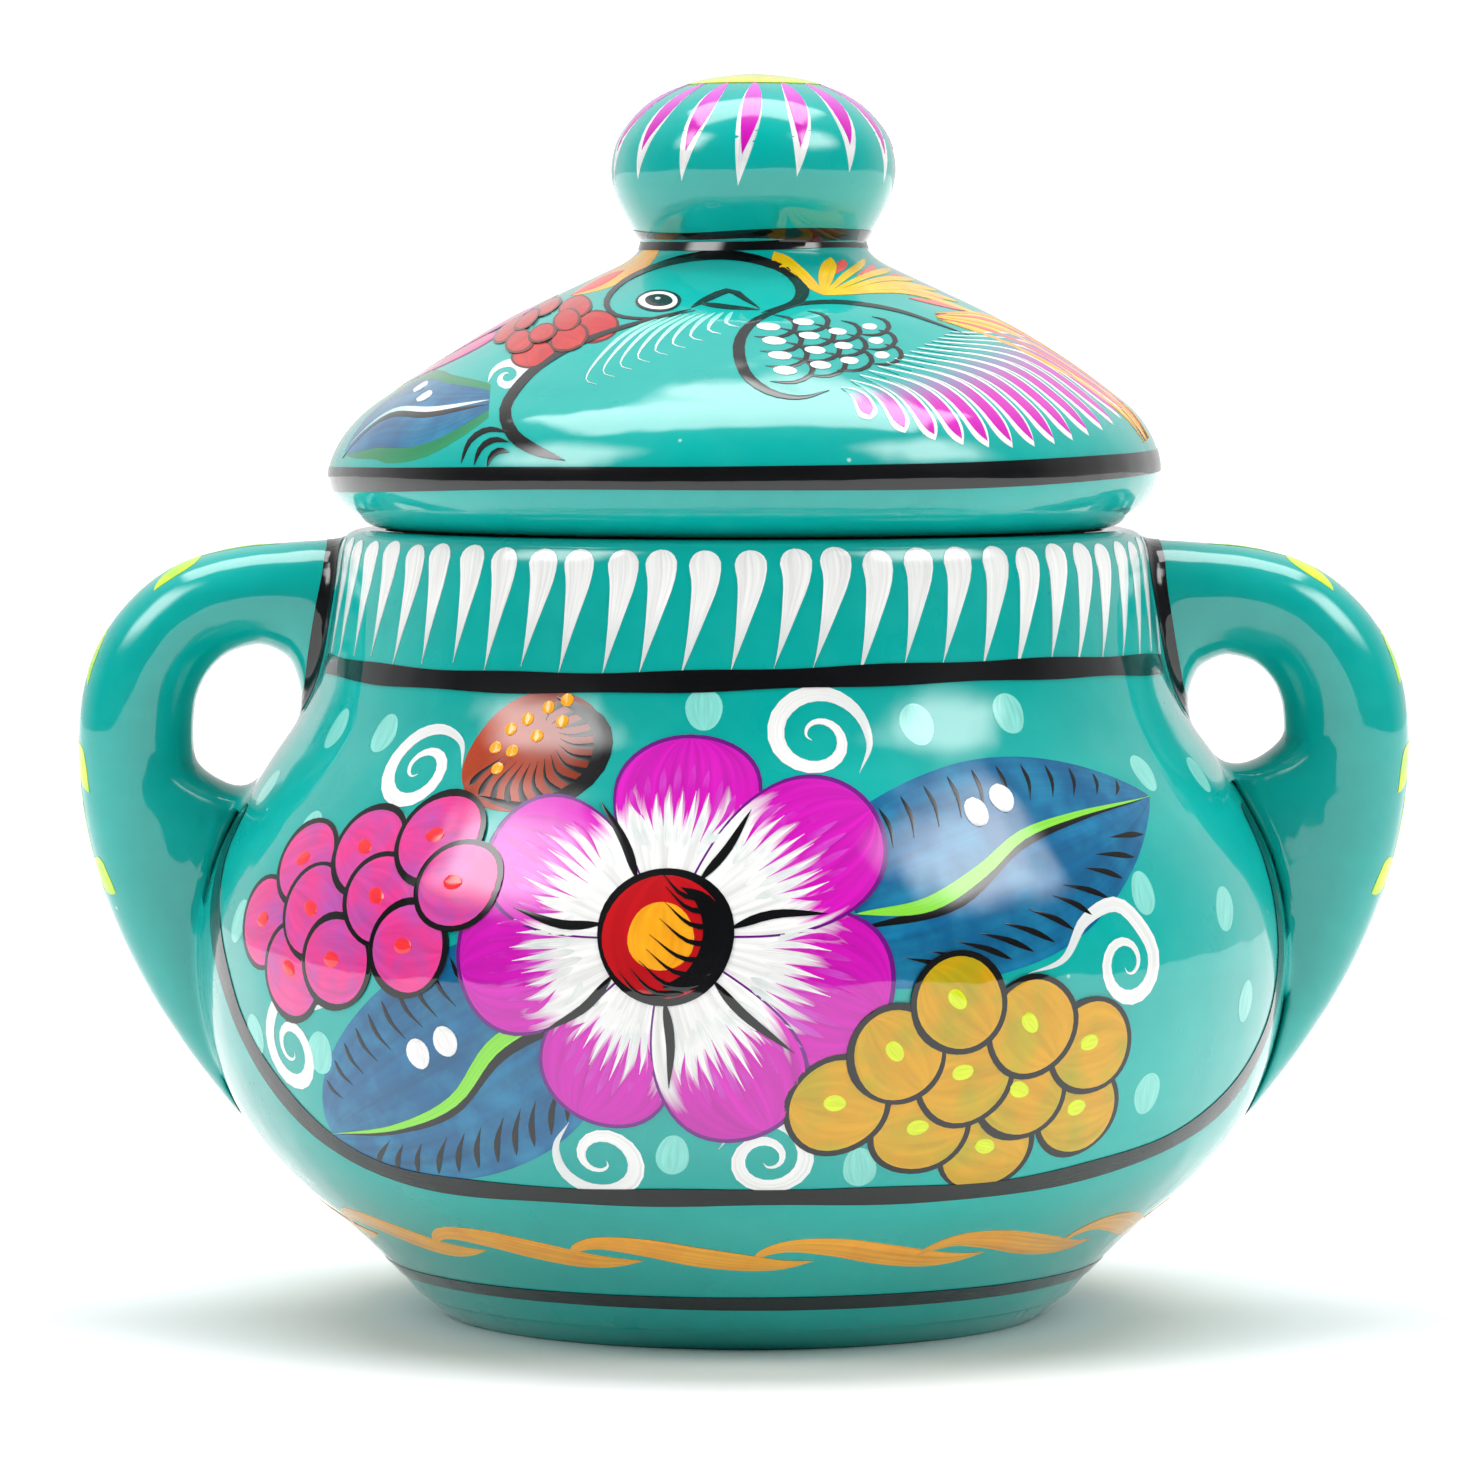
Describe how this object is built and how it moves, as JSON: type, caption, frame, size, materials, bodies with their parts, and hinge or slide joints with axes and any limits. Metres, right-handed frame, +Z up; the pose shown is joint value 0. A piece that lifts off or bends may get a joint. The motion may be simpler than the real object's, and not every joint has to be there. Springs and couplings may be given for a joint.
{
  "type": "lidded pottery jar",
  "caption": "Small round-bellied pottery jar with two ear handles, a low foot ring and a domed lid with a round knob that lifts straight off.",
  "frame": {"origin": "centre of the foot ring's resting face, on the jar's axis", "axes": "+Z up along the jar's axis, handles along -X and +X, the painted front faces -Y"},
  "size_m": [0.1722, 0.1402, 0.16],
  "materials": {
    "turquoise_lacquer": "brushed turquoise paint under clear gloss lacquer",
    "bare_clay": "unpainted low-fired red clay",
    "black_paint": "painted line under gloss lacquer",
    "white_paint": "painted stroke under gloss lacquer",
    "magenta_paint": "painted petals, shaded from white, under gloss lacquer",
    "pink_paint": "painted fruit under gloss lacquer",
    "red_paint": "painted flower centre under gloss lacquer",
    "brown_paint": "painted bud under gloss lacquer",
    "orange_paint": "painted strokes under gloss lacquer",
    "gold_paint": "painted fruit under gloss lacquer",
    "lime_paint": "painted veins and curls under gloss lacquer",
    "blue_paint": "painted leaves under gloss lacquer"
  },
  "bodies": {
    "jar": {"jar_body": "turquoise_lacquer", "foot_ring": "turquoise_lacquer", "left_handle": "turquoise_lacquer", "right_handle": "turquoise_lacquer"},
    "lid": {"lid_dome": "turquoise_lacquer", "lid_flange": "bare_clay", "lid_knob": "turquoise_lacquer"}
  },
  "joints": [
    {"name": "lid_lift", "type": "slide", "parent": "jar", "child": "lid", "axis": [0, 0, 1], "range_m": [0, 0.06]}
  ]
}
